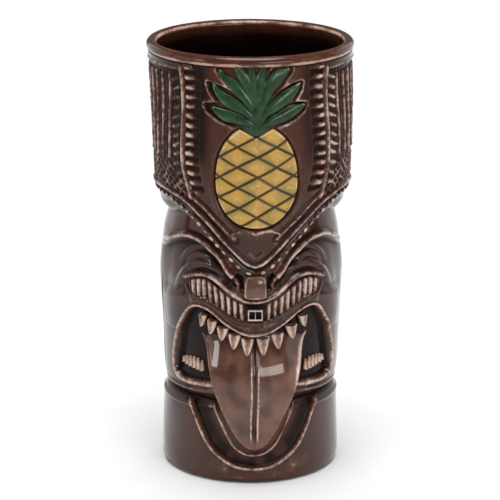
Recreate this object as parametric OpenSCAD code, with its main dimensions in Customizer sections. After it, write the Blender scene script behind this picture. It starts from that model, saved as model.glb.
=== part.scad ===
// Tiki mug: a glazed stoneware tumbler with a carved face, a drum headdress with a
// pineapple, and a long tongue that hangs down over the foot.
// The mug stands on z = 0 with its axis on Z, and the face looks along -Y.

/* [Overall] */
// Height of the mug, from the table to the top of the lip
height = 170; // [140:1:210]
// Diameter over the lip, the widest place of the mug
rim_d = 80; // [72:1:100]
// Diameter of the face barrel at the cheeks
barrel_d = 71.4; // [60:0.2:76]
// Diameter of the foot
foot_d = 69.6; // [58:0.2:76]

/* [Zones] */
// Height of the foot, up to the waist groove under the chin
foot_h = 33; // [27:0.5:40]
// Height of the headdress drum, from its lower corner to the top of the lip
headdress_h = 60; // [50:0.5:72]

/* [Walls] */
// Wall of the mug, measured from the crests of the carving to the inside
wall = 4.2; // [3.4:0.1:6]
// Thickness of the floor at the middle
floor_t = 7; // [5:0.5:10]
// Thickness of the rolled lip
lip_t = 4.2; // [3.4:0.1:5.2]
// Thickness of the headdress layer around the wall
sleeve_t = 1.3; // [1.1:0.1:1.6]
// Depth of the waist groove below the cheeks
waist_in = 3.7; // [2:0.1:4.5]
// Depth of the neck below the cheeks, under the headdress
neck_in = 3.8; // [2:0.1:4.5]
// How far the ground of the drum lies inside the lip, at its lower corner
corner_in = 3.1; // [2.5:0.1:5]
// The same just above the corner
drum_low_in = 2.6; // [2.2:0.1:4]
// The same under the lip
drum_top_in = 1.25; // [1.2:0.05:2]

/* [Foot ring] */
// Width of the flat ring that the mug stands on
foot_ring_w = 5; // [3:0.5:8]
// Depth of the recess inside the foot ring
foot_recess = 1.5; // [0.5:0.1:3]
// Radius of the rounded bottom edge
foot_round = 2; // [0.5:0.1:3]

/* [Carving] */
// Height of the carved lines above the ground of the headdress
relief = 0.9; // [0.5:0.05:1.1]
// Height of the ridges of the face above the cheeks
ridge_lift = 1.5; // [0.8:0.1:2.2]
// Width of a ridge of the face
ridge_w = 2.4; // [1.6:0.1:3.2]
// Depth of the mouth and of the eye sockets below the cheeks
recess = 1.4; // [0.6:0.1:1.6]
// Height of the teeth above the floor of the mouth
tooth_lift = 2; // [1:0.1:3]
// Height of the tongue above the cheeks
tongue_lift = 3; // [2:0.1:4]
// Free gap between pieces that lie side by side
side_gap = 0.5; // [0.2:0.1:1]

/* [Pineapple] */
// Width of the fruit
fruit_w = 32; // [24:0.5:38]
// Height of the fruit
fruit_h = 39; // [30:0.5:42]
// Height of the crown of leaves
crown_h = 24.5; // [20:0.5:27]
// Half angle that the crown spans around the drum
crown_half = 27; // [20:0.5:30]
// Depth of the pocket that the fruit and the crown lie in
pocket = 0.6; // [0.3:0.1:0.8]
// Width and height of a diamond of the fruit's rind
diamond = [14, 7.85];

/* [Side panels] */
// Number of bars in a comb
comb_bars = 12; // [8:1:16]
// Number of reeds around the sides and the back
reeds = 35; // [16:1:40]
// Number of leaves in the woven band under the reeds
weave_leaves = 34; // [20:1:40]

/* [Hidden] */

round_fn = 96;
far = 60;

rim_r = rim_d / 2;
barrel_r = barrel_d / 2;
foot_r = foot_d / 2;
drum_z = height - headdress_h;
face_h = drum_z - foot_h;
neck_r = barrel_r - neck_in;

// The height of a level: -100 is the table, 0 the waist groove, 100 the lower corner of
// the headdress and 200 the top of the lip.
function level(v) =
    v < 0 ? foot_h * (1 + v / 100)
  : v < 100 ? foot_h + face_h * v / 100
  : drum_z + headdress_h * (v - 100) / 100;

// Outlines that go up a surface are lists of [radius, height].
foot_edge = [for (a = [0:30:90]) [foot_r - foot_round * (1 - sin(a)), foot_round * (1 - cos(a))]];
foot_side = [[foot_r - 0.2, level(-20)], [foot_r - 1.4, level(-9)]];
waist = [[barrel_r - waist_in, level(0)], [barrel_r - waist_in + 0.2, level(1.5)]];
barrel = [[barrel_r - 1.8, level(7)], [barrel_r - 1.3, level(15)], [barrel_r - 0.7, level(41)],
          [barrel_r - 0.1, level(56)], [barrel_r - 0.4, level(68)], [barrel_r - 1.8, level(80)],
          [neck_r, level(93)]];
face_skin = concat(foot_edge, foot_side, waist, barrel);

// The ground of the headdress: an apron over the brow and a drum above it.
drum_low = level(112);
drum_top = height - lip_t;
apron_low = level(62);
ground = [[barrel_r + 0.3, apron_low], [rim_r - corner_in, drum_z], [rim_r - drum_low_in, drum_low],
          [rim_r - drum_top_in, drum_top]];
under_ground = [[neck_r + 0.6, level(96)], [rim_r - drum_low_in - sleeve_t, drum_low],
                [rim_r - drum_top_in - sleeve_t, drum_top]];

function radius_at(skin, z) = lookup(z, [for (p = skin) [p[1], p[0]]]);
function moved(skin, out) = [for (p = skin) [p[0] + out, p[1]]];
function flipped(list) = [for (i = [len(list) - 1:-1:0]) list[i]];
function mirrored(list) = [for (p = flipped(list)) [-p[0], p[1]]];

// A smooth curve through points chosen along a line.
function curve_point(a, b, c, d, t) =
    0.5 * (2 * b + (c - a) * t + (2 * a - 5 * b + 4 * c - d) * t * t
           + (3 * b - a - 3 * c + d) * t * t * t);
function curve(c, n = 3) =
    let (last = len(c) - 1)
    concat([for (i = [0:last - 1]) for (k = [0:n - 1])
        curve_point(c[max(i - 1, 0)], c[i], c[i + 1], c[min(i + 2, last)], k / n)], [c[last]]);

// The outline of a line of some width along points of [angle, height], on a round of radius r.
function mm(p, r) = [p[0] * PI / 180 * r, p[1]];
function across(c, i, r) =
    let (d = mm(c[min(i + 1, len(c) - 1)], r) - mm(c[max(i - 1, 0)], r))
    [d[1], -d[0]] / norm(d);
function stroke_side(c, w, r) =
    [for (i = [0:len(c) - 1])
        let (n = across(c, i, r), h = (is_list(w) ? w[i] : w) / 2)
        [c[i][0] + n[0] * h * 180 / (PI * r), c[i][1] + n[1] * h]];
function stroke(c, w, r = 35) = concat(stroke_side(c, w, r), flipped(stroke_side(c, -w, r)));
function levelled(c) = [for (p = c) [p[0], level(p[1])]];

// A block that reaches from the axis out through an outline of [angle, height] on a skin.
module prism(outline, skin) {
    angles = [for (p = outline) p[0]];
    middle = (min(angles) + max(angles)) / 2;
    rotate([0, 0, middle]) rotate([90, 0, 0]) linear_extrude(height = far)
        polygon([for (p = outline) [radius_at(skin, p[1]) * sin(p[0] - middle), p[1]]]);
}

// The layer between two offsets of a skin.
module layer(skin, from, to) {
    rotate_extrude($fn = round_fn) polygon(concat(moved(skin, to), flipped(moved(skin, from))));
}

// A ridge, or any flat piece, on a skin.
module sprig(outlines, skin, from, to) {
    intersection() {
        layer(skin, from, to);
        union() for (o = outlines) prism(o, skin);
    }
}

// A bar on the drum between two angles and two heights, seated on its ground.
module drum_bar(a0, a1, z0, z1, lift) {
    r0 = radius_at(ground, z0);
    r1 = radius_at(ground, z1);
    rotate([0, 0, a0 - 90]) rotate_extrude(angle = a1 - a0, $fn = round_fn)
        polygon([[r0, z0], [r0 + lift, z0], [r1 + lift, z1], [r1, z1]]);
}

/* Mouth and eyes, in [angle, level] */
mouth_half = [[0, 34], [8, 35], [15, 38], [22, 43], [29, 46.5], [36, 48], [43, 46.5],
              [49, 41], [54, 31], [56, 20], [53, 12], [42, 9], [20, 9]];
mouth_line = levelled(curve(mouth_half, 2));
mouth = concat(mouth_line, [for (p = mirrored(mouth_line)) if (p[0] < -0.01) p]);
rim_half = [[0, 36.4], [8, 37.3], [15, 40.5], [22, 45.5], [29, 49.3], [36, 51], [43, 49.5],
            [50.5, 44], [56, 33], [58.5, 20], [56.5, 11.5]];
socket = [[17, 66], [22, 74], [30, 80.5], [45, 82], [58, 80], [68, 74], [60, 67], [42, 65], [26, 63]];
nostril = [[9.5, 60], [10, 65], [14, 67], [16.5, 65.5], [14, 61.5]];

module cup_blank() {
    lip_r = lip_t / 2;
    lip_arc = [for (a = [-60:20:180]) [rim_r - lip_r + lip_r * cos(a), height - lip_r + lip_r * sin(a)]];
    floor_r = foot_r - wall - 5;
    inside = concat([[0, floor_t], [floor_r, floor_t], [floor_r + 4, floor_t + 4]],
        moved([for (p = concat(foot_side, waist, barrel)) if (p[1] > floor_t + 5) p], -wall),
        [[rim_r - drum_low_in + relief - wall, drum_low], [rim_r - drum_top_in + relief - wall, drum_top]]);
    ring_r = foot_r - foot_round - foot_ring_w;
    rotate_extrude($fn = round_fn)
        polygon(concat([[0, foot_recess], [ring_r - 1, foot_recess], [ring_r, 0]],
            face_skin, under_ground, lip_arc, flipped(inside)));
}

module cup() {
    color("#4a2c22") difference() {
        cup_blank();
        sprig([mouth], face_skin, -recess, 9);
        for (s = [1, -1]) {
            sprig([for (hole = [socket, nostril]) [for (p = levelled(hole)) [s * p[0], p[1]]]],
                face_skin, -recess, 9);
        }
    }
}

/* The border of the headdress, in [angle, level]: the rail's centre line, and the apron's edge */
rail_half = [[0, 72], [5, 73.8], [10, 77.7], [17, 83.1], [28, 92.5], [36, 98], [44, 103.7], [56, 108.5]];
edge_half = [[0, 65.5], [5, 67.5], [10, 71.4], [16, 76.2], [28, 83.4], [35, 88], [45, 94], [58, 100]];

// Half of the fruit's outline, from the point of its shoulder down to its lowest point.
crown_low = drum_top - side_gap - crown_h;
fruit_top = crown_low + 2;
fruit_mid = fruit_top - fruit_h * 0.54;
shoulder = 65;
function fruit_half(grow) =
    [for (a = [shoulder:-12.4:-90])
        let (tall = a > 0 ? fruit_top - fruit_mid + 1.6 : fruit_h * 0.46,
             x = (fruit_w / 2 + grow) * pow(max(cos(a), 0), 0.85))
        [x / rim_r * 180 / PI, fruit_mid + (tall + grow) * sin(a)]];
function fruit_outline(grow = 0) =
    let (half = fruit_half(grow), mid = [for (p = half) if (p[0] > 0.05) p])
    concat(mid, [[0, fruit_mid - fruit_h * 0.46 - grow]], mirrored(mid),
        [[0, fruit_top - 3.3 + grow]]);

// The leaves of the crown: [tip angle, tip height, where it leaves the stem, width], each as
// a share of the crown's half angle and height.
leaf_list = [[0, 1, 0.3, 5.4], [0.3, 0.99, 0.3, 4.8], [0.68, 0.87, 0.24, 5.2],
             [0.92, 0.64, 0.16, 5.2], [0.98, 0.33, 0.08, 5.4]];
function leaf(l, side, grow = 0) =
    let (a = side * crown_half, z0 = crown_low + 1.4,
         root = [a * 0.03, z0 + crown_h * l[2] * 0.4],
         knee = [a * l[0] * 0.42, z0 + crown_h * (l[2] * 0.45 + l[1] * 0.42)],
         tip = [a * l[0], z0 + (crown_h - 1.4) * l[1]],
         line = curve([root, knee, tip], 3), w = l[3] + 2 * grow,
         last = len(line) - 1)
    stroke(line, [for (i = [0:last]) w * (0.62 + 0.38 * sin(180 * i / last)) * (i == last ? 0.3 : 1)], rim_r);
function leaves(grow = 0) =
    concat([for (l = leaf_list) leaf(l, 1, grow)],
        [for (l = leaf_list) if (l[0] > 0) leaf(l, -1, grow)],
        [stroke([[0, crown_low], [0, crown_low + crown_h * 0.35]], 9 + 2 * grow, rim_r)]);

module headdress() {
    rail_line = levelled(edge_half);
    apron = concat(rail_line, [[60, drum_z + 2], [-60, drum_z + 2]],
        [for (p = mirrored(rail_line)) if (p[0] < -0.01) p]);
    color("#5a3427") difference() {
        rotate_extrude($fn = round_fn)
            polygon(concat(ground, flipped(under_ground),
                flipped([for (p = barrel) if (p[1] > apron_low) p]),
                [[radius_at(face_skin, apron_low), apron_low]]));
        difference() {
            rotate_extrude($fn = round_fn)
                polygon([[neck_r - 3, apron_low - 1], [neck_r - 3, level(93) - 3], [neck_r, level(93)],
                    [rim_r - corner_in, drum_z], [far, drum_z], [far, apron_low - 1]]);
            prism(apron, ground);
        }
        sprig([fruit_outline(side_gap)], ground, -pocket, 5);
        sprig(leaves(side_gap), ground, -pocket, 5);
    }
}

module headband_rail() {
    half = levelled(curve(rail_half, 2));
    color("#b08d7f") {
        for (s = [1, -1]) {
            sprig([stroke([for (p = half) [s * p[0], p[1]]], 1.8, rim_r)], ground, 0, relief);
        }
        drum_bar(56.5, 303.5, drum_low, drum_low + 1.8, relief);
    }
}

module headband_beads() {
    beads = 12;
    place = levelled(edge_half);
    rail = levelled(rail_half);
    color("#b08d7f") for (s = [1, -1]) for (i = [0:beads - 1]) {
        a = 2.6 + i * 4.6;
        low = lookup(a, place);
        high = lookup(a, rail);
        slope = atan2(lookup(a + 1, place) - lookup(a - 1, place), 2 * rim_r * PI / 180);
        dir = [cos(slope) * 180 / (PI * rim_r), sin(slope)];
        c = [a, low * 0.62 + high * 0.38];
        line = [c - dir * 1.15, c + dir * 1.15];
        sprig([stroke([for (p = line) [s * p[0], p[1]]], 1.3, rim_r)], ground, 0, relief * 0.8);
    }
}

/* The side panels, by angle from the middle of the face */
comb_a = 35;
rail_a = 43;
panel_low = level(116);
panel_top = level(188);
weave_low = drum_low + 2.4;
weave_h = 5.6;
reed_low = weave_low + weave_h + side_gap + 0.6;
frame_z = level(189);

module panel_rails() {
    low = level(103) + 2;
    line = [[rail_a + 1, frame_z], [rail_a, level(172)], [rail_a + 2.3, level(143)],
            [rail_a + 2.4, level(130)], [rail_a - 0.5, level(116)], [rail_a - 3.2, low]];
    color("#b08d7f") {
        for (s = [1, -1]) {
            sprig([stroke([for (p = curve(line, 2)) [s * p[0], p[1]]], 1.7, rim_r)], ground, 0, relief);
        }
        drum_bar(rail_a + 2.6, 360 - rail_a - 2.6, frame_z - 1.6, frame_z, relief);
    }
}

module comb(a0, a1, low) {
    pitch = (panel_top - low) / comb_bars;
    for (i = [0:comb_bars - 1]) {
        z = low + pitch * i;
        drum_bar(a0, a1, z, z + pitch * 0.5, relief * 0.8);
    }
}

module panel_combs() {
    color("#9a7466") for (s = [1, -1]) {
        comb(s * comb_a - 3, s * comb_a + 3, panel_low);
        comb(s * (rail_a + 8) - 3, s * (rail_a + 8) + 3, reed_low);
    }
}

module panel_reeds() {
    first = rail_a + 13;
    step = (360 - 2 * first) / (reeds - 1);
    color("#7d5a4b") for (i = [0:reeds - 1]) {
        a = first + step * i;
        drum_bar(a - 1.1, a + 1.1, reed_low, panel_top - 3, relief * 0.85);
    }
}

module woven_band() {
    first = rail_a + 8;
    step = (360 - 2 * first) / (weave_leaves - 1);
    color("#7d5a4b") for (i = [0:weave_leaves - 1]) {
        a = first + step * i;
        lean = i % 2 == 0 ? 1.5 : -1.5;
        sprig([stroke([[a - lean, weave_low], [a + lean, weave_low + weave_h]], 1.8, rim_r)],
            ground, 0, relief * 0.8);
    }
}

module pineapple_fruit() {
    slope = diamond[1] / diamond[0];
    lines = ceil(fruit_h / diamond[1]) + 2;
    edge = fruit_w / 2 + 2;
    top = fruit_top - 3.3;
    color("#c9963a") difference() {
        sprig([fruit_outline()], ground, -pocket, relief * 1.1);
        for (s = [1, -1]) {
            sprig([for (i = [-1:lines])
                let (z = top - i * diamond[1], a = edge / rim_r * 180 / PI)
                stroke([[-a, z - s * edge * slope], [a, z + s * edge * slope]], 0.8, rim_r)],
                ground, relief * 0.5, 5);
        }
    }
}

module pineapple_crown() {
    color("#2f4c2b") difference() {
        sprig(leaves(), ground, -pocket, relief * 1.1);
        prism(fruit_outline(side_gap), ground);
    }
}

module brow_ridges() {
    line = [[11, 66.5], [16, 71], [22, 75.7], [29, 79.5], [38, 82.5], [50, 84], [62, 82.5], [72, 79]];
    color("#a98072") for (s = [1, -1]) {
        sprig([stroke([for (p = levelled(curve(line, 2))) [s * p[0], p[1] - 1.6]], 1.8, barrel_r)],
            face_skin, 0, ridge_lift);
    }
}

module eyes() {
    upper = [[23, 70], [30, 76], [38, 77.5], [46, 75.5], [53, 70]];
    lower = [[46, 67.5], [38, 66.2], [30, 67.2]];
    almond = levelled(curve(concat(upper, lower), 1));
    color("#7d5648") for (s = [1, -1]) {
        sprig([[for (p = almond) [s * p[0], p[1]]]], face_skin, -recess, ridge_lift * 0.6);
    }
}

module nose() {
    line = levelled([[-4.5, 65], [4.5, 65], [7.5, 60.5], [6.5, 57.8], [0, 56.6], [-6.5, 57.8], [-7.5, 60.5]]);
    color("#6b4537") sprig([line], face_skin, 0, ridge_lift + 1);
}

module upper_lip() {
    line = [[0, 54.2], [7, 55.4], [14, 58.6], [20, 61.4], [25, 62.4]];
    half = levelled(curve(line, 2));
    whole = concat(mirrored(half), [for (p = half) if (p[0] > 0.01) p]);
    color("#a98072")
        sprig([stroke([for (p = whole) [p[0], p[1] - 0.6]], ridge_w - 0.6, barrel_r)], face_skin, 0, ridge_lift);
}

rib_top = levelled([[6, 51], [15, 55], [22, 59.3], [29, 61.8], [36, 63], [44, 62]]);
rib_low = levelled([[6, 45.5], [15, 48], [22, 52], [29, 56], [36, 58], [44, 58]]);

module moustache_ribs() {
    ribs = 10;
    color("#9a7466") for (s = [1, -1]) {
        sprig([for (i = [0:ribs - 1])
            let (a = 7.6 + i * 3.9)
            stroke([[s * (a + 0.8), lookup(a, rib_low)], [s * a, lookup(a, rib_top) - side_gap]], 1.5, barrel_r)],
            face_skin, 0, ridge_lift * 0.7);
    }
}

module nose_plug() {
    low = level(44);
    high = level(50.5);
    color("#8a6556") difference() {
        sprig([[[-5.4, low], [5.4, low], [5.4, high], [-5.4, high]]], face_skin, 0, ridge_lift * 0.7);
        for (s = [1, -1]) {
            translate([s * 1.55, -barrel_r - 1, (low + high) / 2]) cube([1.7, 3.4, 1.9], center = true);
        }
    }
}

module mouth_rim() {
    half = levelled(curve(rim_half, 2));
    whole = concat(mirrored(half), [for (p = half) if (p[0] > 0.01) p]);
    color("#a98072") sprig([stroke(whole, ridge_w - 0.4, barrel_r)], face_skin, 0, ridge_lift);
}

module upper_teeth() {
    tips = [[4.8, 27.5], [14.5, 30.5], [23.5, 34.5], [32, 39]];
    gum = levelled([for (p = mouth_half) if (p[1] > 30) p]);
    color("#c8a48e") intersection() {
        for (s = [1, -1]) {
            sprig([for (t = tips)
                let (a = t[0], z = level(t[1]), half = 4.1)
                [[s * (a - half), lookup(a - half, gum)], [s * (a + half), lookup(a + half, gum)],
                 [s * (a + 0.9), z], [s * (a - 0.9), z]]],
                face_skin, -recess, tooth_lift - recess);
        }
        prism(mouth, face_skin);
    }
}

module side_teeth() {
    color("#c8a48e") for (s = [1, -1]) {
        sprig([for (i = [0:3])
            let (a = 38 + i * 4.4, z = level(i == 0 || i == 3 ? 20.5 : 23))
            [[s * (a - 1.9), level(13)], [s * (a + 1.9), level(13.4)], [s * (a + 0.7), z], [s * (a - 0.3), z]]],
            face_skin, -recess, tooth_lift - recess);
    }
}

tongue_half = [[34, 28], [30, 20], [26.5, 12], [22.5, 3], [18, -9], [14, -24], [10, -39], [5, -50], [0, -54]];
tongue_r = barrel_r - 1 + tongue_lift;
tongue_skin = [[foot_r + 0.8, level(-58)], [foot_r + 1.6, level(-40)], [tongue_r - 0.8, level(-12)],
               [tongue_r, level(6)], [tongue_r - 0.6, level(18)], [tongue_r - 2.2, level(25)],
               [tongue_r - 4.2, level(30)]];

module lower_lip() {
    line = levelled([[22, 4.5], [35, 4.5], [48, 5.2], [62, 7], [74, 9.5]]);
    color("#8a6556") difference() {
        for (s = [1, -1]) {
            sprig([stroke([for (p = curve(line, 2)) [s * p[0], p[1]]], 3.4, barrel_r)], face_skin, 0, ridge_lift);
        }
        tongue_block(side_gap);
    }
}

module tongue_block(grow = 0) {
    down = levelled(curve(tongue_half, 2));
    side = [for (p = down) [p[0] + grow * 1.7, p[1] - grow * 0.7]];
    outline = concat([[0, level(25.5)]], side, [for (p = mirrored(side)) if (p[0] < -0.01) p]);
    prism(outline, tongue_skin);
}

module tongue() {
    groove = 1.6;
    color("#6b4a40") difference() {
        intersection() {
            rotate_extrude($fn = round_fn)
                polygon(concat([[0, level(-58)]], tongue_skin, [[0, level(30)]]));
            tongue_block();
        }
        cup_solid();
        sprig([stroke(levelled([[0, 24], [0, -32]]), groove, barrel_r)], tongue_skin, -0.6, 5);
    }
}

// The outer shape of the cup, filled, with its mouth cut in.
module cup_solid() {
    difference() {
        rotate_extrude($fn = round_fn) polygon(concat([[0, 0]], face_skin, [[0, level(93)]]));
        sprig([mouth], face_skin, -recess, 9);
    }
}

module chin_panel() {
    outer = [[44, -7.5], [40, -21], [35, -39], [29, -56], [22, -68], [14, -76], [7, -80.5], [0, -82]];
    inner = [[30, -7.5], [25, -22], [20, -41], [15, -55], [9, -65], [0, -69]];
    color("#a98072") for (line = [outer, inner]) {
        half = levelled(curve(line, 2));
        whole = concat(half, [for (p = mirrored(half)) if (p[0] < -0.01) p]);
        sprig([stroke(whole, 1.7, foot_r)], face_skin, 0, ridge_lift * 0.7);
    }
}

cup();
headdress();
headband_rail();
headband_beads();
panel_rails();
panel_combs();
panel_reeds();
woven_band();
pineapple_fruit();
pineapple_crown();
brow_ridges();
eyes();
nose();
upper_lip();
moustache_ribs();
nose_plug();
mouth_rim();
upper_teeth();
side_teeth();
lower_lip();
tongue();
chin_panel();
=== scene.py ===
import math

import bpy
import numpy as np
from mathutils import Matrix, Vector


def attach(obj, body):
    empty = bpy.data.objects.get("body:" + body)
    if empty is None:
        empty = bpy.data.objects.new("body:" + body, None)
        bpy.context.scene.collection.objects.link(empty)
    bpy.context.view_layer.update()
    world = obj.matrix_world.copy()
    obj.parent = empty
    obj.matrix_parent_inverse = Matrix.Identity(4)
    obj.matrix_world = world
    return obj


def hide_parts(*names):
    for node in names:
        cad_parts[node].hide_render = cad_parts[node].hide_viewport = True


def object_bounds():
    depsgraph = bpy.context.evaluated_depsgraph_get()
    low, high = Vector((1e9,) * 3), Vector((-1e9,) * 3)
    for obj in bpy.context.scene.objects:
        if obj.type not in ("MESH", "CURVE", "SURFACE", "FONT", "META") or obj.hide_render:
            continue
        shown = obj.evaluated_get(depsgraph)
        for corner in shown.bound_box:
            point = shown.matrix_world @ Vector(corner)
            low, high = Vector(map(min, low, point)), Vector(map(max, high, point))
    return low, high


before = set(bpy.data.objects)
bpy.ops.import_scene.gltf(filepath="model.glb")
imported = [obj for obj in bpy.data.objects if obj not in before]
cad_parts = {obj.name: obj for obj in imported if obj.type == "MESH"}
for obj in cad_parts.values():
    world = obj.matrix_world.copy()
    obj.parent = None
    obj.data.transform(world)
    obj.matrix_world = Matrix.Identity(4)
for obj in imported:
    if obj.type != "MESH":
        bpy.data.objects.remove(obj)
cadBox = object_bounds()
drawnHeight = 170  # the mug is drawn below in millimetres at this height
unit = cadBox[1].z / drawnHeight  # metres for one drawn millimetre
print("frame loaded, the mug is", round(cadBox[1].z * 1000), "mm tall")

# Every place below is (angle, height): degrees from the middle of the face, and millimetres up.
# Depths and lifts are in millimetres too, outwards from the clay's own round.


def softStep(low, high, x):
    t = np.clip((x - low) / (high - low), 0, 1)
    return t * t * (3 - 2 * t)


def hump(distance, width):  # a round ridge, 1 along its middle and 0 past its width
    return np.clip(1 - (2 * distance / width) ** 2, 0, 1) ** 1.5


def smoothLine(points, perSpan=6):
    p = np.array(points, float)
    p = np.vstack([2 * p[0] - p[1], p, 2 * p[-1] - p[-2]])
    t = np.linspace(0, 1, perSpan, endpoint=False)[:, None]
    spans = []
    for a, b, c, d in zip(p[:-3], p[1:-2], p[2:-1], p[3:]):
        spans.append(b + 0.5 * t * (c - a + t * (2 * a - 5 * b + 4 * c - d + t * (3 * (b - c) + d - a))))
    return np.vstack(spans + [p[-2:-1]])


def onRound(line, radius):
    return np.array(line, float) * [math.radians(radius), 1]


def nearLine(s, z, line, reach=7.0):  # distance to a line, and how far along it, 0 to 1
    distance = np.full(s.shape, 99.0)
    along = np.zeros(s.shape)
    low, high = line.min(0) - reach, line.max(0) + reach
    near = (s > low[0]) & (s < high[0]) & (z > low[1]) & (z < high[1])
    x, y = s[near], z[near]
    best, where = np.full(x.shape, 99.0), np.zeros(x.shape)
    for i, (a, b) in enumerate(zip(line[:-1], line[1:])):
        d = b - a
        t = np.clip(((x - a[0]) * d[0] + (y - a[1]) * d[1]) / max(d @ d, 1e-9), 0, 1)
        gap = np.hypot(x - a[0] - t * d[0], y - a[1] - t * d[1])
        closer = gap < best
        best[closer] = gap[closer]
        where[closer] = (i + t[closer]) / (len(line) - 1)
    distance[near], along[near] = best, where
    return distance, along


def insideDepth(s, z, outline):  # how deep a point lies inside a closed outline, negative outside
    closed = np.vstack([outline, outline[:1]])
    distance, _ = nearLine(s, z, closed)
    hit = np.zeros(s.shape, bool)
    for a, b in zip(closed[:-1], closed[1:]):
        if a[1] != b[1]:
            crosses = (a[1] > z) != (b[1] > z)
            hit ^= crosses & (s < (b[0] - a[0]) * (z - a[1]) / (b[1] - a[1]) + a[0])
    return np.where(hit, distance, -distance)


def ripple(x, y, size, seed):  # smooth unevenness from -1 to 1 with bumps of about that size
    draw = np.random.default_rng(seed)
    total = np.zeros(np.broadcast(x, y).shape)
    for _ in range(7):
        turn, phase = draw.uniform(0, 2 * math.pi, 2)
        stretch = draw.uniform(0.7, 1.5)
        total += np.sin((x * math.cos(turn) + y * math.sin(turn)) * 2 * math.pi * stretch / size + phase)
    return total / 4


def blurred(field, reach):  # softens a field over some grid cells
    cells = np.arange(-3 * reach, 3 * reach + 1)
    weights = np.exp(-0.5 * (cells / reach) ** 2)
    weights /= weights.sum()
    for axis in (0, 1):
        margin = [(3 * reach, 3 * reach) if k == axis else (0, 0) for k in (0, 1)]
        padded = np.pad(field, margin, mode="edge")
        field = sum(w * np.take(padded, np.arange(i, i + field.shape[axis]), axis)
                    for i, w in enumerate(weights))
    return field


handThrown = {"heights": (0, 28, 34, 60, 95, 110, 120, 138, 150, 162, 170),
              "sideways": (0, 0, 0.3, 0.45, 0.45, 0.8, 0.95, 0.85, 0.6, 0.15, 0),
              "wider": (0.1, 0.1, 0.25, 0.25, 0.25, 0.3, 0.35, 0.3, 0.15, 0, 0)}


def claySkin(name, angle, radius, height, marks):
    # A grid is shaped row by row around the mug, and its meeting edges are welded into a closed skin.
    height = height + 0 * radius
    aside, wider = (np.interp(height, handThrown["heights"], handThrown[k]) for k in ("sideways", "wider"))
    radius = radius + wider * softStep(0, 20, radius)
    rows, columns = radius.shape
    bpy.ops.object.select_all(action="DESELECT")
    bpy.ops.mesh.primitive_grid_add(x_subdivisions=columns - 1, y_subdivisions=rows - 1, size=2)
    piece = bpy.context.object
    piece.name = piece.data.name = name
    turn = np.radians(angle)
    place = np.stack([radius * np.sin(turn) + aside, -radius * np.cos(turn), height], -1)
    piece.data.vertices.foreach_set("co", (place * unit).ravel())
    # the first mark is glaze rubbed thin on crests, plus painted highlight on the tongue's right edge and the
    # back comb's right side; the second is pooled glaze plus painted shade; the third a redder tint
    for label in ("thin", "poolAndShade", "warm"):
        values = np.broadcast_to(marks.get(label, 0.0), radius.shape).astype(np.float32)
        piece.data.attributes.new(label, "FLOAT", "POINT").data.foreach_set("value", values.ravel())
    bpy.ops.object.mode_set(mode="EDIT")
    bpy.ops.mesh.select_all(action="SELECT")
    bpy.ops.mesh.remove_doubles(threshold=2e-6)
    bpy.ops.mesh.normals_make_consistent(inside=False)
    bpy.ops.object.mode_set(mode="OBJECT")
    bpy.ops.object.shade_smooth()
    return piece


def joined(name, parts):
    bpy.ops.object.select_all(action="DESELECT")
    for part in parts:
        part.select_set(True)
    bpy.context.view_layer.objects.active = parts[0]
    bpy.ops.object.join()
    parts[0].name = parts[0].data.name = name
    return parts[0]


def sprig(name, line, width, lift, ground, sink=0.6, across=9, dome=2.4, fall=0.55, marks=None):
    # A pad of clay laid along a line: width and lift are given along it, and it is closed underneath.
    t = np.linspace(0, 1, len(line))
    radius0 = ground(line[:, 1])
    onPlane = np.stack([np.radians(line[:, 0]) * radius0, line[:, 1]], 1)
    run = np.gradient(onPlane, axis=0)
    normal = np.stack([run[:, 1], -run[:, 0]], 1) / np.maximum(np.hypot(*run.T), 1e-9)[:, None]
    q = np.concatenate([np.sin(np.linspace(-90, 90, across) * math.pi / 180), [0.6, -0.6, -1.0]])
    top = np.arange(len(q)) < across
    half = (width(t) / 2)[:, None] * q[None, :]
    s = onPlane[:, :1] + half * normal[:, :1]
    z = onPlane[:, 1:] + half * normal[:, 1:]
    rise = np.where(top, np.clip(1 - np.abs(q) ** dome, 0, 1) ** fall, 0)[None, :]
    low = np.where(top & (np.abs(q) < 0.999), 0.0, -sink)[None, :]
    radius = ground(z) + rise * lift(t)[:, None] + low
    made = {k: v(t[:, None], q[None, :]) * top[None, :] for k, v in (marks or {}).items()}
    return claySkin(name, np.degrees(s / radius0[:, None]), radius, z, made)


# the mug's own round, before carving: (height, radius)
footRound = smoothLine([(1.2, 34.2), (2.2, 34.7), (6, 34.95), (17, 34.65), (25, 34.35), (28.4, 34.1),
                        (30.6, 33.4), (32.0, 32.3), (32.9, 31.8)])
faceRound = smoothLine([(32.5, 31.6), (33.4, 31.9), (34.4, 32.7), (36.2, 33.5), (40, 34.1), (46, 34.45),
                        (56, 34.75), (66, 35.1), (74, 35.55), (80, 35.7), (86, 35.25), (91, 34.5),
                        (96, 33.8), (100, 32.9), (104.8, 31.9), (110, 31.8)])
headRound = smoothLine([(78, 36.0), (84, 36.4), (92, 36.9), (100, 37.3), (109.7, 37.8), (117, 38.3),
                        (134, 38.8), (155, 39.45), (167, 39.7)])
wallLeft = 3.1  # clay behind the deepest carving of the drum


def footRadius(z):
    return np.interp(z, footRound[:, 0], footRound[:, 1])


def faceRadius(z):
    return np.interp(z, faceRound[:, 0], faceRound[:, 1])


def headRadius(z):
    return np.interp(z, headRound[:, 0], headRound[:, 1])


def uneven(angle, steps):  # angles all round, close together on the side that carries the carving
    front = np.linspace(-angle, angle, steps[0] + 1)
    back = np.linspace(angle, 360 - angle, steps[1] + 1)[1:]
    return np.concatenate([front, back])


def foldedAngle(angle):  # how far round from the middle of the face, 0 to 180
    return np.abs((angle + 180) % 360 - 180)


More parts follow.
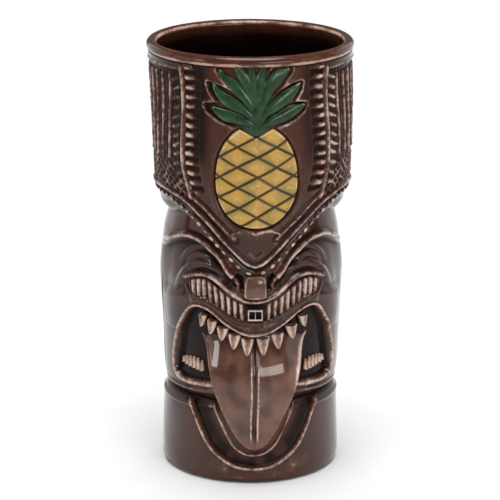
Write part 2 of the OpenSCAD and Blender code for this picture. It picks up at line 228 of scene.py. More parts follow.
def glazeMarks(lift, reach, thinAt, poolAt):
    # Glaze runs off crests and edges and gathers in the hollows beside them.
    fine = lift - blurred(lift, reach)
    broad = lift - blurred(lift, reach * 3)
    thin = blurred(np.clip((fine - thinAt * 0.2) / thinAt, 0, 1), 1) * (0.6 + 0.4 * softStep(0.1, 0.6, broad))
    poolAndShade = softStep(0.02, poolAt, -fine) * 0.6 + softStep(0.1, poolAt * 2.4, -broad) * 0.6
    return np.clip(thin, 0, 1), np.clip(poolAndShade, 0, 1)


# headdress: each line runs from the middle of the face outwards, or from the top down
crown = {
    "columns": (206, 300), "rows": 172, "drumTop": 165.9,
    "band": [(0, 88.4), (5, 89.8), (10, 92.8), (17, 97.2), (28, 104.4), (36, 108.8), (44.5, 112.2),
             (56, 114.5), (72, 115.2), (110, 115.2), (180, 115.2)],
    "upperBand": [(42, 115.2), (38, 114), (31, 110.8), (25, 107), (18, 102.8), (12.5, 99.6)],
    "apronEdge": [(0, 83.9), (5, 85.2), (10, 88.0), (17, 92.4), (28, 99.6), (36, 104.2), (44.5, 107.4),
                  (56, 109.3), (70, 109.7), (180, 109.7)],
    "rail": [(44.4, 164), (43.2, 157), (43.6, 150), (44.8, 143), (45.6, 134), (45.6, 127), (43.4, 120.5),
             (40.4, 114.6)],
    "ledge": [(0, 101.3), (3, 102.4), (7.3, 103.0), (11, 102.4), (14.2, 101.4)],  # under the fruit
    "smile": [(0, 92.2), (2.2, 92.8), (4.4, 94.2)],  # the small curl on the apron
    "frontGround": -0.5, "sideGround": -1.25, "combPitch": 3.7, "reedPitch": 7.2,
    "frameHeight": 163.6, "weavePitch": 3.5,
}
fruit = {"low": 103.9, "top": 143.2, "notch": 139.7, "shoulder": 6.6, "widest": 121.8, "half": 16.0}
leafLines = [  # root, bends and tip of each leaf, its width, and how high it is laid
    ([(-1.4, 143.6), (-5.0, 145.6), (-11.2, 146.8), (-17.4, 147.9), (-21.7, 149.4), (-24.5, 150.9)], 5.2, 0.32),
    ([(1.6, 143.6), (6.6, 145.3), (13.2, 147.0), (20.1, 149.0), (24.8, 150.2), (28.2, 151.3)], 5.2, 0.32),
    ([(-1.2, 145.2), (-4.4, 148.6), (-10.6, 151.4), (-16.2, 153.6), (-20.4, 156.2), (-23.7, 159.9)], 5.5, 0.24),
    ([(1.4, 145.2), (5.2, 148.6), (11.2, 151.6), (17.4, 154.6), (22.2, 157.2), (25.9, 159.6)], 5.5, 0.24),
    ([(-0.9, 147.6), (-3.4, 152.2), (-8.4, 156.8), (-12.7, 159.4), (-16.8, 161.8), (-19.9, 165.3)], 5.5, 0.16),
    ([(1.0, 147.6), (3.8, 152.4), (7.6, 158.2), (12.2, 162.2), (16.2, 164.0), (19.8, 165.2)], 5.6, 0.16),
    ([(-0.6, 151.0), (-2.6, 156.0), (-5.4, 161.6), (-8.8, 165.2), (-11.6, 168.4)], 5.0, 0.08),
    ([(0.6, 151.0), (1.6, 156.4), (3.1, 162.2), (6.4, 168.5)], 4.7, 0.08),
    ([(-0.3, 149.0), (-0.9, 154.0), (-1.5, 161.0), (-2.0, 168.6)], 4.8, 0.14),
]
stemLine = [(-0.2, 140.4), (0.0, 143.4), (0.6, 148.0), (0.6, 152.5), (0.2, 158.5)]


def fruitSide(z):  # half the fruit's width at a height
    tall = np.where(z > fruit["widest"], fruit["top"] + 1.2 - fruit["widest"], fruit["widest"] - fruit["low"])
    return fruit["half"] * np.clip(1 - np.abs((z - fruit["widest"]) / tall) ** 2.15, 0, 1) ** 0.5


def fruitOutline():
    z = fruit["low"] + (fruit["top"] - fruit["low"]) * (1 - np.cos(np.linspace(0, math.pi, 40))) / 2
    side = np.stack([fruitSide(z), z], 1)
    side = side[(side[:, 1] < fruit["widest"]) | (side[:, 0] > fruit["shoulder"])]
    half = np.vstack([side, [fruit["shoulder"], fruit["top"]]])
    return np.vstack([half, [[0, fruit["notch"]]], (half * [-1, 1])[:0:-1]])


def leafWidth(t, width):  # widest past its middle, and pointed
    return width * (0.5 + 0.5 * softStep(0, 0.6, t)) * np.clip((1 - t) / 0.42, 0, 1) ** 0.62


def stemWidth(t):
    pointed = np.clip((1 - t) / 0.4, 0, 1) ** 0.6
    return 10.6 * softStep(-0.25, 0.2, t) * (1 - 0.35 * softStep(0.2, 0.7, t)) * pointed


def leafGap(s, z, radius):  # distance outside the nearest leaf or the stem, negative inside
    gap = np.full(s.shape, 99.0)
    for line, width, _ in leafLines:
        distance, along = nearLine(s, z, onRound(smoothLine(line), radius))
        gap = np.minimum(gap, distance - leafWidth(along, width) / 2)
    distance, along = nearLine(s, z, onRound(smoothLine(stemLine), radius))
    return np.minimum(gap, distance - stemWidth(along) / 2)


def carveHead(angle, z):
    around = foldedAngle(angle)
    r = 38.3
    s = np.radians(around) * r + 0.18 * ripple(angle * 0.6, z, 17, 3)
    z = z + 0.15 * ripple(angle * 0.6, z, 14, 4)
    railLine = smoothLine(crown["rail"])
    railAt = np.interp(z, railLine[::-1, 1], railLine[::-1, 0])
    past = np.degrees(s / r) - railAt  # degrees behind the rail
    bandAt = np.interp(around, *np.array(crown["band"]).T)
    behind = softStep(-0.6, 0.6, past)
    lift = crown["frontGround"] * (1 - behind) + crown["sideGround"] * behind

    # combs of short bars on both sides of the rail
    comb = softStep(-12.6, -10.4, past) * (1 - softStep(-2.9, -2.1, past))
    comb *= softStep(115, 118, z) * (1 - softStep(164.5, 165.5, z))
    lift = lift * (1 - comb) + crown["sideGround"] * comb
    combStep = crown["combPitch"]
    tooth = np.abs((z - 118.35 + 0.3 * ripple(angle, z, 9, 9)) % combStep - combStep / 2)
    reachIn = softStep(-12.6, -4.6, past)  # each bar is a thorn, broad at the rail
    lift += comb * (0.35 + 1.05 * reachIn) * hump(tooth, 1.5 + 1.3 * reachIn)
    lean = z + 0.28 * (past - 2)
    comb2 = softStep(2.1, 3.0, past) * (1 - softStep(7.2, 9.8, past))
    comb2 *= softStep(116, 119, z) * (1 - softStep(160.5, 162, z))
    tooth2 = np.abs((lean - 118.2 + 0.3 * ripple(angle, z, 9, 10)) % combStep - combStep / 2)
    lift += comb2 * (1.15 - 0.07 * past) * hump(tooth2, 2.3 - 0.12 * past)

    # tall reeds, then plaited leaves under them
    reedStep = crown["reedPitch"]
    sway = past - 11.4 + 0.05 * (z - 140) * softStep(176, 130, around) + 0.3 * ripple(angle, z * 0.3, 40, 8)
    reed = np.abs((sway + reedStep / 2) % reedStep - reedStep / 2)
    which = np.floor((sway + reedStep / 2) / reedStep)
    reedLow = 126.5 + 1.0 * np.sin(which * 2.4)
    reedOn = (sway > -reedStep / 2) * softStep(reedLow, reedLow + 2, z) * (1 - softStep(160.5, 162, z))
    lift += reedOn * 1.1 * hump(reed * math.radians(r), 1.6)
    thinReed = np.abs(reed - reedStep / 2)
    broken = softStep(-0.9, 0.2, ripple(angle, z, 19, 5) + 0.4)  # the thin reeds come and go
    lift += reedOn * 0.8 * hump(thinReed * math.radians(r), 1.2) * broken
    weave = behind * softStep(bandAt + 0.9, bandAt + 2.2, z) * (1 - softStep(125, 130, z))
    weave *= np.maximum(1 - comb2, softStep(124, 120, z))
    pitch = crown["weavePitch"]
    over = np.abs((s * 0.9 + z + 0.7 * ripple(angle, z, 12, 6)) % pitch - pitch / 2)
    under = np.abs((s * 0.9 - z * 1.1 + 0.7 * ripple(angle, z, 12, 7)) % pitch - pitch / 2)
    lift += weave * np.maximum(hump(over, 1.7), 0.85 * hump(under, 1.6)) * 0.95

    # the V band: two rails with a smooth strip between them
    bandLine = onRound(smoothLine(crown["band"]), r)
    upperLine = onRound(smoothLine(crown["upperBand"]), r)
    toBand, _ = nearLine(s, z, bandLine)
    toUpper, _ = nearLine(s, z, upperLine)
    below = softStep(bandAt + 0.5, bandAt - 0.9, z)
    lift = lift * (1 - below) - 0.95 * below
    strip = hump(np.minimum(toBand, toUpper), 7.5) * (1 - below) * (around < 46)
    lift = lift * (1 - strip) - 0.55 * strip
    for distance, width, height in ((toBand, 1.7, 0.2), (toUpper, 1.5, 0.05)):
        on = hump(distance, width)
        lift = lift * (1 - on) + height * on
        lift -= 0.35 * hump(np.abs(distance - 1.5), 1.3)
    toRail, _ = nearLine(s, z, onRound(railLine, r))
    on = hump(toRail, 2.3)
    lift = lift * (1 - on) + 0.3 * on - 0.25 * hump(np.abs(toRail - 1.6), 1.3)
    frameOn = hump(np.abs(z - crown["frameHeight"]), 1.6) * softStep(-0.4, 0.4, past)
    overFrame = softStep(-0.2, 0.6, z - crown["frameHeight"]) * behind
    lift = lift * (1 - overFrame) - 0.3 * overFrame
    lift = lift * (1 - frameOn) + 0.1 * frameOn

    # pockets around the fruit and the leaves, each with a raised edge
    fruitGap = -insideDepth(s, z, fruitOutline())
    crownGap = leafGap(s, z, r)
    gap = np.minimum(fruitGap, crownGap)
    pocketOn = 1 - softStep(0.35, 1.2, gap)
    lift = lift * (1 - pocketOn) - 1.45 * pocketOn
    lift += 0.42 * hump(np.abs(crownGap - 1.35), 1.1) * (fruitGap > 1.6) * (z < 166)
    lift += 0.16 * hump(np.abs(fruitGap - 1.9), 1.8) * (crownGap > 1.8) * softStep(150, 120, z)
    ledge, _ = nearLine(s, z, onRound(smoothLine(crown["ledge"]), r))
    lift += 0.55 * hump(ledge, 1.5)
    smile, _ = nearLine(s, z, onRound(crown["smile"], r))
    lift += 0.5 * hump(smile, 1.3)

    # crests that were wiped or rubbed bare, each as wide as its line; the back comb's bars are lighter on the
    # right side as a painted highlight
    rub = [0.88 * hump(toRail, 3.1), 0.8 * hump(z - crown["frameHeight"], 2.1) * softStep(-0.4, 0.4, past),
           0.95 * hump(toBand, 2.1), 0.8 * hump(toUpper, 1.7) * (past < 0),
           0.9 * hump(ledge, 1.5), 0.6 * hump(smile, 1.2),
           1.1 * comb * softStep(-11.5, -4.5, past) * hump(tooth, 3.0),
           np.where(angle > 0, 1.1, 0.7) * comb2 * hump(tooth2, 2.5),
           0.95 * reedOn * hump(reed * math.radians(r), 2.0),
           0.8 * weave * np.maximum(hump(over, 1.8), hump(under, 1.6)),
           0.55 * reedOn * hump(thinReed * math.radians(r), 1.4),
           0.8 * hump(np.abs(crownGap - 1.35), 1.3) * (fruitGap > 1.6) * (z < 166),
           0.36 * softStep(6, 2.5, fruitGap) * softStep(0.8, 1.6, fruitGap) * softStep(128, 112, z)]
    rub = np.max(np.broadcast_arrays(*rub), 0) * (0.84 + 0.16 * ripple(angle, z, 16, 17))

    # painted shade: the ground in front of the rail, beside the front comb, is darkened, more on the left side
    # than the right
    shade = softStep(-22, -13, past) * (past < -8) * softStep(122, 134, z)
    shade = shade * np.where(angle < 0, 0.92, 0.6)
    corner = softStep(115.5, 109.5, z) * softStep(44, 64, around)
    lift -= corner * 0.9
    warm = (1 - behind) * softStep(bandAt + 1, bandAt + 4, z) * (0.25 + 0.65 * softStep(104, 130, z))
    shade = np.maximum(shade, 0.75 * behind * (1 - overFrame) * softStep(bandAt + 0.5, bandAt + 2, z))
    return lift, warm, below, shade, rub


def headdress():
    angle = uneven(52, crown["columns"])
    around = foldedAngle(angle)
    lowEdge = np.interp(around, *np.array(crown["apronEdge"]).T)
    v = np.linspace(0, 1, crown["rows"])[:, None]
    z = crown["drumTop"] - (crown["drumTop"] - lowEdge) * v
    lift, warm, below, shade, rub = carveHead(np.broadcast_to(angle, z.shape), z)
    edge = softStep(lowEdge + 1.1, lowEdge, z)
    radius = headRadius(z) + lift - edge * 0.25
    thin, poolAndShade = glazeMarks(lift, 3, 0.5, 0.34)
    thin = np.maximum(thin * (1 - 0.35 * below), rub)
    poolAndShade = np.maximum(poolAndShade, shade)

    side = softStep(46, 66, around)
    drop = 1.3 + side * (lowEdge - 104.6 - 1.3)
    turnIn = np.radians(np.linspace(0, 90, 9)[1:, None])
    seat = faceRadius(lowEdge - drop) - 0.6
    underRadius = seat + (radius[-1] - seat) * np.cos(turnIn)
    underHeight = lowEdge - drop * np.sin(turnIn)
    w = np.linspace(0, 1, 6)[1:, None]
    innerHeight = underHeight[-1] + (crown["drumTop"] - underHeight[-1]) * w
    innerRadius = np.minimum(headRadius(innerHeight) - wallLeft, seat + 8 * w)
    allRadius = np.vstack([radius, underRadius, innerRadius, radius[:1]])
    allHeight = np.vstack([z, underHeight, innerHeight, z[:1]])
    rest = len(allRadius) - len(radius)
    marks = {"thin": np.vstack([thin, np.repeat(thin[-1:], rest, 0) * 0.5]),
             "poolAndShade": np.vstack([poolAndShade, np.full((rest, len(angle)), 0.25)]),
             "warm": np.vstack([warm, np.zeros((rest, len(angle)))])}
    print("headdress carved")
    return claySkin("headdressShell", angle, allRadius, allHeight, marks)


def bandBeads():
    band = smoothLine(crown["band"], 12)
    length = np.concatenate([[0], np.cumsum(np.hypot(*np.diff(onRound(band, 38), axis=0).T))])
    parts = []
    pitch, drop, bandRound = 3.75, 3.1, 38  # spacing, length, and the radius the band is measured on
    for side in (1, -1):
        for k in range(int(length[-1] / pitch)):
            at = pitch * (k + 0.5) + 0.15 * math.sin(5.1 * k + side)
            a, z = (np.interp([at - 1.15, at + 1.15], length, band[:, i]) for i in (0, 1))
            slant = np.array([z[1] - z[0], -np.radians(a[1] - a[0]) * bandRound])
            slant = slant / np.hypot(*slant) * (drop if a[0] < 60 else drop * 0.8)
            ends = np.stack([a + np.degrees(slant[0] / bandRound), z + slant[1]], 1) * [side, 1]
            line = ends[0] + (ends[1] - ends[0]) * np.linspace(0, 1, 7)[:, None]
            level = -1.0 - 0.9 * float(softStep(115.5, 109.5, line[3, 1]) * softStep(44, 64, abs(line[3, 0])))
            plump = 1.55 + 0.25 * math.sin(2.3 * k + side)  # rolled by hand, so no two are the same
            bare = 0.8 + 0.2 * math.sin(3.7 * k - side)
            parts.append(sprig("bead", line, lambda t, w=plump: w * np.clip(1 - (2 * t - 1) ** 4, 0, 1) ** 0.5,
                               lambda t: 0.95 + 0 * t, lambda z, level=level: headRadius(z) + level,
                               sink=0.5, across=7,
                               marks={"thin": lambda t, q, b=bare:
                                      b * (1.15 - 0.7 * q ** 2 - 0.45 * (2 * t - 1) ** 2)}))
    print("headband beads laid")
    return joined("headbandBeads", parts)


def pineappleFruit():
    across = np.sin(np.linspace(-90, 90, 121) * math.pi / 180)
    x = across * fruit["half"]
    dip = fruit["notch"] + np.abs(x) * (fruit["top"] - fruit["notch"]) / fruit["shoulder"]
    heights = np.linspace(fruit["low"], fruit["top"], 600)
    sides = fruitSide(heights)
    upper = heights > fruit["widest"]
    top = np.array([np.interp(-abs(k), -sides[upper], heights[upper]) for k in x])
    bottom = np.array([np.interp(abs(k), sides[~upper], heights[~upper]) for k in x])
    top = np.minimum(top, dip)
    v = (1 - np.cos(np.linspace(0, math.pi, 141)))[:, None] / 2
    z = bottom + (top - bottom) * v
    deep = np.abs(insideDepth(np.broadcast_to(x, z.shape), z, fruitOutline()))
    rim = 1 - np.exp(-deep / 0.55)
    slope, spacing = 7.85 / 14, 7.85
    scores = []
    for lean in (1, -1):
        offset = (z - fruit["notch"] - 0.2 + lean * slope * x + 0.25 * ripple(x, z, 23, 20 + lean)) / spacing
        scores.append(np.abs(offset - np.round(offset)) * spacing * math.cos(math.atan(slope)))
    score = np.minimum(*scores)
    groove = hump(score, 1.75)
    cushion = 1 - np.exp(-score / 0.9)
    radius = headRadius(z) - 0.9 + 1.15 * rim + 0.32 * cushion * rim - 0.38 * groove * rim
    line = np.clip(hump(score, 1.5) * 1.25, 0, 1)
    marks = {"thin": np.clip(softStep(1.3, 0.25, deep) * (1 - line) + 0.55 * softStep(0.6, 2.4, score), 0, 1),
             "poolAndShade": np.clip(line + softStep(0.12, 0.0, deep), 0, 1),
             "warm": softStep(-0.35, 0.75, ripple(x, z, 11, 31))}
    under = v[::-10][1:]
    lowZ = bottom + (top - bottom) * under
    radius = np.vstack([radius, headRadius(lowZ) - 1.9])
    marks = {k: np.vstack([m, np.ones(lowZ.shape) * 0.5]) for k, m in marks.items()}
    z = np.vstack([z, lowZ])
    print("pineapple fruit scored")
    return claySkin("pineappleFruit", np.degrees(x / 38.3), radius, z, marks)


def pineappleLeaves():
    parts = []

    def add(line, width, level, lift, worn=1.0, fall=0.55):
        def thin(t, q):  # bare at the tip, and along one rib of the outer half
            tip = softStep(0.84, 1.0, t) * softStep(0.3, 0.9, np.abs(q) + t - 0.6)
            return worn * (tip + 0.75 * hump(q + 0.5, 0.4) * softStep(0.4, 0.6, t))

        parts.append(sprig("leaf", smoothLine(line, 9), width,
                           lambda t: lift * (0.8 + 0.2 * np.sin(math.pi * t)),
                           lambda z: headRadius(z) - 1.45 + level, sink=0.7, across=17, dome=2.0, fall=fall,
                           marks={"thin": thin,
                                  "poolAndShade": lambda t, q: softStep(0.86, 1.0, np.abs(q)) * 0.7 + 0 * t}))

    for line, width, level in leafLines:
        add(line, lambda t, width=width: leafWidth(t, width), level, 1.35)
    add(stemLine, stemWidth, 0.25, 1.3, 0.0, 1.1)
    print("pineapple leaves laid")
    return joined("pineappleLeaves", parts)


# face
face = {
    "columns": (330, 90), "rows": 224,
    "brow": [(10.5, 81.0), (13, 83.4), (17.6, 86.7), (22.6, 91.0), (29, 94.4), (36, 96.6), (44, 97.7),
             (53, 97.4), (64, 95.0), (76, 92.0), (88, 90)],
    "upperLid": [(23.5, 89.6), (29, 93.0), (37, 94.4), (45, 92.8), (52, 89.2), (57, 84.5)],
    "lowerLid": [(25, 88.4), (31, 90.6), (38, 91.2), (45, 89.4), (51, 85.8)],
    "cheek": [(15.5, 83.4), (21, 85.6), (28, 87.4), (35, 88.0), (43, 86.6), (50, 83.2), (56, 78.4), (60, 73)],
    "lipRidge": [(0, 74.7), (6, 75.2), (12, 77.0), (20, 80.2), (27, 82.7), (33, 83.6), (40, 83.3), (48, 81.6)],
    "ribTop": [(0, 73.0), (11, 74.4), (21, 78.3), (30, 81.7), (38, 82.0), (46, 80.6)],
    "ribLow": [(0, 66.2), (10.7, 67.4), (22.7, 71.2), (33.3, 74.4), (43, 76.4), (47, 78.4)],
    "mouthRim": [(0, 60.9), (5, 61.3), (10.2, 62.4), (18.8, 65.6), (27.7, 69.6), (36.5, 71.4), (43, 70.2),
                 (49, 65.8), (56, 58.8), (60.4, 51.8), (62.2, 45.4), (61.0, 41.4), (56, 39.2), (45, 38.8),
                 (30, 39.4), (20, 39.8)],
    "lowerLip": [(20, 37.0), (30, 36.6), (44, 35.8), (58, 35.3), (72, 35.2), (92, 35.2)],
    "ribPitch": 4.05,
}


fold = {"fullCheek": [(46, 78), (56, 74), (60, 66)],
        "nostril": [(7.2, 84.6), (7.0, 79.2), (13.2, 80.4), (15.2, 83.0), (11.0, 86.0)],
        "wing": [(8.2, 77.9), (11.5, 79.2), (14.5, 81.2)]}


def carveFace(angle, z):
    around = foldedAngle(angle)
    r = 35.2
    s = np.radians(around) * r + 0.15 * ripple(angle * 0.6, z, 15, 13)
    z = z + 0.12 * ripple(angle * 0.6, z, 13, 14)
    lift = 0.12 * ripple(angle * 0.6, z, 26, 15)
    lines = {k: onRound(smoothLine(v), r) for k, v in face.items() if isinstance(v, list)}
    degrees = np.degrees(s / r)

    # brow: a sharp crest that falls away into the eye socket below it
    browAt = np.interp(degrees, *smoothLine(face["brow"]).T)
    toBrow, _ = nearLine(s, z, lines["brow"])
    fade = 1 - softStep(66, 90, around)
    socket = softStep(0.0, 3.0, browAt - z) * softStep(9, 14, degrees) * fade
    socket *= softStep(76, 81, z + 0.10 * (degrees - 20))
    lift -= 1.5 * socket
    above = softStep(0.3, 3.0, z - browAt) * softStep(9, 14, degrees) * (1 - softStep(70, 95, around))
    lift -= 0.25 * above
    lift += 1.5 * hump(toBrow, 3.6) * fade
    # the eye: lids over a long bulge, and the round of the cheek under it
    for line, wide, high in (("upperLid", 3.0, 0.6), ("lowerLid", 3.2, 0.7), ("cheek", 4.6, 1.0)):
        distance, along = nearLine(s, z, lines[line])
        lift += high * hump(distance, wide) * softStep(0, 0.25, along) * softStep(1, 0.7, along)
    fullCheek, _ = nearLine(s, z, onRound(fold["fullCheek"], r))
    lift += 0.7 * hump(fullCheek, 22)

    # nostrils beside the nose block
    pit = insideDepth(s, z, onRound(fold["nostril"], r))
    lift -= 1.9 * softStep(-0.3, 0.9, pit)
    wing, _ = nearLine(s, z, onRound(fold["wing"], r))
    lift += 0.6 * hump(wing, 1.8)

    # upper lip ridge, ribbed band, and the smooth roll over the mouth
    toLip, _ = nearLine(s, z, lines["lipRidge"])
    lift += 1.45 * hump(toLip, 2.9)
    top = np.interp(degrees, *smoothLine(face["ribTop"]).T)
    low = np.interp(degrees, *smoothLine(face["ribLow"]).T)
    bandOn = softStep(low - 0.2, low + 0.7, z) * (1 - softStep(top - 0.5, top + 0.4, z))
    bandOn *= 1 - softStep(45, 48, degrees)
    lift = lift * (1 - bandOn) - 0.85 * bandOn
    lean = degrees - 0.10 * (z - top)
    rib = np.abs((lean - 6.9) % face["ribPitch"] - face["ribPitch"] / 2)
    ribOn = bandOn * softStep(6.0, 7.0, degrees) * (1 - softStep(43.5, 45.5, degrees))
    lift += ribOn * 1.3 * hump(rib * math.radians(r), 2.15)
    underBand, _ = nearLine(s, z, lines["ribLow"])
    lift += 0.45 * hump(np.abs(underBand - 0.6), 1.5) * (z < low)
    roll = insideDepth(s, z, np.vstack([onRound(smoothLine(face["ribLow"])[:-3], r),
                                        onRound(smoothLine(face["mouthRim"])[36:0:-1], r)]))
    lift += 0.9 * softStep(0, 3.2, roll)

    # mouth: a deep hollow with a raised rim, and the lower lip under its sides
    rim = lines["mouthRim"]
    toRim, alongRim = nearLine(s, z, rim)
    hollow = insideDepth(s, z, np.vstack([rim, [(-4.0, 39.5), (-4.0, 60.6)]]))
    lift = np.where(hollow > 0, lift * (1 - softStep(0, 1.0, hollow)), lift)
    lift -= 2.7 * softStep(0.1, 2.3, hollow)
    lift += 1.05 * hump(toRim, 1.9 + 1.3 * softStep(0.72, 0.85, alongRim))
    shelf = softStep(47.0, 41.5, z) * softStep(1.0, 2.5, hollow)
    lift += 0.9 * shelf
    toLower, _ = nearLine(s, z, lines["lowerLip"])
    lift += 0.7 * hump(toLower, 3.2) * (1 - softStep(66, 92, around))
    quiet = softStep(19, 23, degrees) * softStep(60, 54, degrees) * softStep(1.2, 3.0, browAt - z)
    quiet *= softStep(1.5, 3.5, toLip) * softStep(76, 80, z)
    warm = above * 0.9 + 0.35 * softStep(-0.2, 0.8, ripple(angle, z, 30, 16))
    # broad places wiped half bare, then crests rubbed bare along their lines
    rub = [0.62 * above * softStep(31, 18, degrees) * softStep(7, 3, z - browAt),
           0.40 * softStep(0.3, 2.6, roll) * softStep(46, 36, degrees),
           0.40 * softStep(0.1, 0.9, z - top) * softStep(3.4, 1.8, toLip) * softStep(30, 22, degrees),
           0.34 * hump(toRim, 3.6) * softStep(-0.6, -1.4, hollow),
           0.9 * hump(toBrow, 2.6) * fade, 0.92 * hump(toLip, 2.2),
           0.55 * hump(toLower, 2.4) * softStep(90, 60, around),
           0.9 * hump(toRim, 1.7 + 2.0 * softStep(0.70, 0.85, alongRim)),
           (0.75 + 0.33 * softStep(0, 4, z - low)) * ribOn * hump(rib * math.radians(r), 3.0)]
    rub = np.max(np.broadcast_arrays(*rub), 0) * (0.84 + 0.16 * ripple(angle, z, 16, 17))
    # the fourth value is painted shade deep in the mouth hollow
    return lift, np.clip(warm, 0, 1), 1 - 0.7 * quiet, 0.85 * softStep(1.2, 2.6, hollow), rub


def faceBarrel():
    angle = uneven(82, face["columns"])
    z = np.linspace(107.5, 32.55, face["rows"])[:, None] + 0 * angle
    lift, warm, wear, paintedThroatShade, rub = carveFace(np.broadcast_to(angle, z.shape), z)
    lift *= softStep(32.5, 34.5, z)
    radius = faceRadius(z) + lift
    thin, poolAndShade = glazeMarks(lift, 3, 0.6, 0.4)
    groove = softStep(35.5, 33.0, z)
    thin = np.maximum(thin * wear * (1 - groove), rub)
    # deep inside the mouth hollow the colour is darkened as painted shade
    poolAndShade = np.maximum(np.maximum(poolAndShade, groove), paintedThroatShade)
    w = np.linspace(0, 1, 5)[:, None]
    innerHeight = 32.55 + 74.95 * w + 0 * angle
    innerRadius = np.minimum(faceRadius(innerHeight), 33) - 3.3
    allRadius = np.vstack([radius, innerRadius, radius[:1]])
    allHeight = np.vstack([z, innerHeight, z[:1]])
    pad = np.zeros((6, len(angle)))
    print("face carved")
    return claySkin("faceBarrel", angle, allRadius, allHeight, {
        "thin": np.vstack([thin, pad]), "poolAndShade": np.vstack([poolAndShade, pad + 0.5]), "warm": np.vstack([warm, pad])})


footing = {
    "columns": (266, 110), "rows": 84, "top": 32.6, "edge": 2.2,
    "panel": [(47, 31.5), (44.5, 29.5), (41, 26.0), (35.8, 20.0), (27.5, 13.0), (14.5, 7.7), (7, 6.4),
              (0, 6.1)],
    "inner": [(29, 32), (25.5, 27.5), (21.3, 22.9), (15.1, 16), (9.5, 13.0), (4.5, 11.6), (0, 11.3)],
    # (radius, height) from the foot ring in under the floor, and up inside
    "under": [(27.6, 0), (26.6, 1.5), (14, 1.5), (0, 1.5), (0, 6.4), (27.5, 6.4), (28.4, 32.6)],
}


def foot():
    angle = uneven(82, footing["columns"])
    outerZ = np.linspace(footing["top"], footing["edge"], footing["rows"])[:, None] + 0 * angle
    around = foldedAngle(angle)
    r = 34.6
    s = np.radians(around) * r + 0 * outerZ
    panel = onRound(smoothLine(footing["panel"]), r)
    toPanel, _ = nearLine(s, outerZ, panel)
    inner, _ = nearLine(s, outerZ, onRound(smoothLine(footing["inner"]), r))
    deep = insideDepth(s, outerZ, np.vstack([panel, [(-4, 6.1), (-4, 40), (panel[0][0], 40)]]))
    lift = -1.3 * softStep(0.2, 1.8, deep) + 0.85 * hump(toPanel, 1.7) + 0.55 * hump(inner, 1.2)
    lift += 0.55 * hump(np.abs(outerZ - 29.6 - 0.4 * np.sin(np.radians(around * 3))), 2.6) * (deep < 0.5)
    lift += 0.1 * ripple(angle * 0.6, outerZ, 24, 41)
    lift *= softStep(32.6, 30.8, outerZ) * softStep(2.2, 4.0, outerZ)
    thin, poolAndShade = glazeMarks(lift, 3, 0.6, 0.4)
    radius = footRadius(outerZ) + lift
    turnIn = np.radians(np.linspace(0, 90, 7)[1:, None])
    edgeRadius = 32.6 + (radius[-1] - 32.6) * np.cos(turnIn)
    edgeHeight = footing["edge"] - footing["edge"] * np.sin(turnIn) + 0 * angle
    restRadius, restHeight = (np.array(side)[:, None] + 0.0 * angle for side in zip(*footing["under"]))
    allRadius = np.vstack([radius, edgeRadius, restRadius, radius[:1]])
    allHeight = np.vstack([outerZ, edgeHeight, restHeight, outerZ[:1]])
    extra = len(allRadius) - len(radius)
    pad = np.zeros((extra, len(angle)))
    waist = softStep(30.8, 32.2, outerZ)
    rub = np.maximum(0.9 * hump(toPanel, 1.8), 1.0 * hump(inner, 1.4))
    rub *= 0.84 + 0.16 * ripple(angle, outerZ, 12, 43)
    patchy = ripple(angle, outerZ, 15, 42)
    wiped = 0.7 * softStep(13, 5, outerZ) * softStep(55, 15, around) * softStep(-0.5, 0.9, patchy)
    thin = np.maximum(np.maximum(thin, rub), wiped * (deep < 0))
    warm = np.maximum(softStep(0.5, 2.5, deep), softStep(0.1, 0.9, patchy) * softStep(4.5, 0.5, toPanel))
    warm = np.maximum(warm, 0.9 * softStep(9, 3, outerZ) * softStep(62, 20, around))
    # painted shade: the chin recess is darkened within about 10 mm of its ridge
    poolAndShade = np.maximum(poolAndShade, 0.9 * softStep(0.5, 1.6, deep) * softStep(10.0, 4.0, deep))
    poolAndShade *= 1 - 0.5 * softStep(0.0, 0.8, patchy) * softStep(22, 12, outerZ)
    print("foot turned")
    return claySkin("foot", angle, allRadius, allHeight, {
        "thin": np.vstack([thin * (1 - waist), pad]),
        "poolAndShade": np.vstack([np.maximum(poolAndShade, waist), pad + 0.2]), "warm": np.vstack([warm, pad])})


cup = {  # (radius, height) from the middle of the floor out and up, and down again behind the wall
    "lip": {"radius": 2.1, "middle": 37.9, "height": 167.9},
    "cavity": [(0.001, 7.0), (12, 7.0), (22, 7.3), (26, 9.5), (27.8, 14), (28.2, 32), (30, 44), (31.3, 78),
               (29.5, 96), (28.6, 104), (31.8, 112), (34.2, 118), (35.0, 140), (35.5, 164)],
    "back": [(36.4, 164.6), (36.1, 140), (35.4, 119), (33.0, 112), (29.6, 104.2), (30.2, 96),
             (32.2, 78), (31.0, 44), (29.2, 32), (29.0, 6.5), (0.001, 6.5)],
}


def inside():
    lip = cup["lip"]
    turn = np.radians(np.linspace(200, -75, 30))
    wall = smoothLine(cup["cavity"], 8)
    arc = np.stack([lip["middle"] + lip["radius"] * np.cos(turn),
                    lip["height"] + lip["radius"] * np.sin(turn)], 1)
    section = np.vstack([wall, arc, np.array(cup["back"])])
    section[[0, -1], 0] = 0
    angle = np.linspace(-180, 180, 193)
    radius = section[:, :1] + 0 * angle
    height = section[:, 1:] + 0 * angle
    onLip = np.zeros(len(section))
    onLip[len(wall):len(wall) + len(arc)] = 1
    facing = np.degrees(np.arctan2(section[:, 1] - lip["height"], section[:, 0] - lip["middle"]))
    edge = onLip * (hump(facing + 32, 62) + 0.85 * hump(facing - 146, 52) + 0.22)
    thin = edge[:, None] * (0.85 + 0.35 * ripple(np.radians(angle) * 38, height, 16, 51))
    print("inside and lip thrown")
    return claySkin("cupInside", angle, radius, height, {
        "thin": np.clip(thin, 0, 1), "poolAndShade": (1 - onLip)[:, None] + 0 * angle,
        "warm": onLip[:, None] * 0.35 + 0 * angle})


